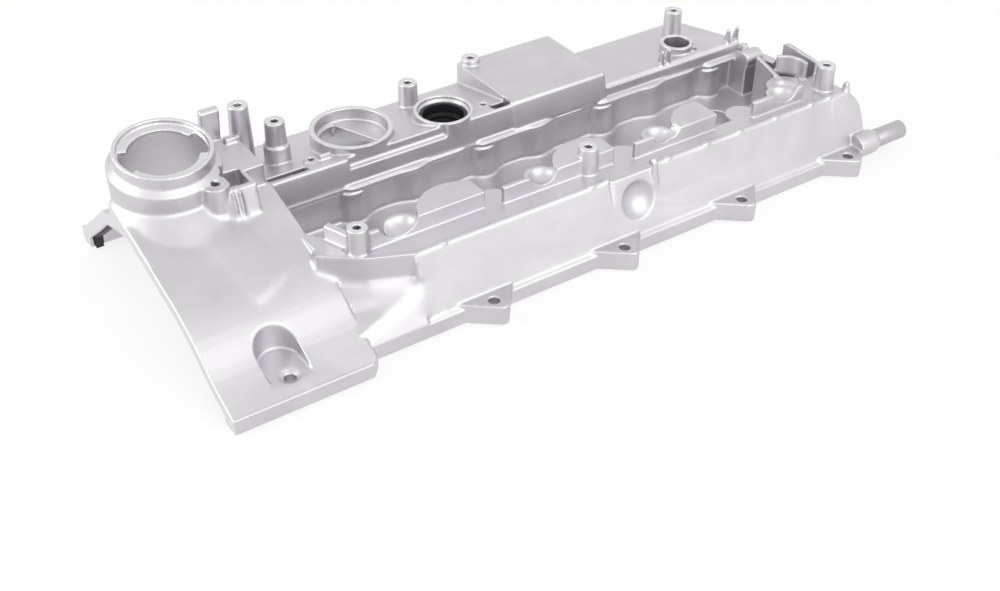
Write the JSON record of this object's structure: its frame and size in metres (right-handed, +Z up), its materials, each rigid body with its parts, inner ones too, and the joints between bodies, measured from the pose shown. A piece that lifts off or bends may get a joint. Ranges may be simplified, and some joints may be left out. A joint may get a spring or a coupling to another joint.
{
  "type": "engine valve cover",
  "caption": "Cast aluminium valve cover for an in-line engine, with oil filler neck, breather and sensor ports, bolt ears, an injector trough, gasket and seals.",
  "frame": {"origin": "on the sealing face, at the middle of the rectangle of the outer flange bolts", "axes": "+X along the crankshaft from the arched timing end to the far end, +Y from the side with the long front wall to the back, +Z up out of the sealing face"},
  "size_m": [0.5185, 0.2212, 0.0977],
  "materials": {
    "cast_aluminium": "die-cast, finely blasted, satin",
    "gasket_rubber": "moulded, matt",
    "black_plastic": "moulded, satin",
    "pipe_aluminium": "drawn tube, satin",
    "sheet_steel": "pressed zinc-coated sheet",
    "screw_steel": "zinc-plated"
  },
  "bodies": {
    "root": {"cover_casting": "cast_aluminium", "perimeter_gasket": "gasket_rubber", "injector_seal_1": "gasket_rubber", "injector_seal_2": "gasket_rubber", "injector_seal_3": "gasket_rubber", "injector_seal_4": "gasket_rubber", "port_insert": "black_plastic", "breather_pipe": "pipe_aluminium", "baffle_plate": "sheet_steel", "baffle_screw_1": "screw_steel", "baffle_screw_2": "screw_steel", "baffle_screw_3": "screw_steel", "baffle_screw_4": "screw_steel", "baffle_screw_5": "screw_steel", "baffle_screw_6": "screw_steel"}
  },
  "joints": []
}
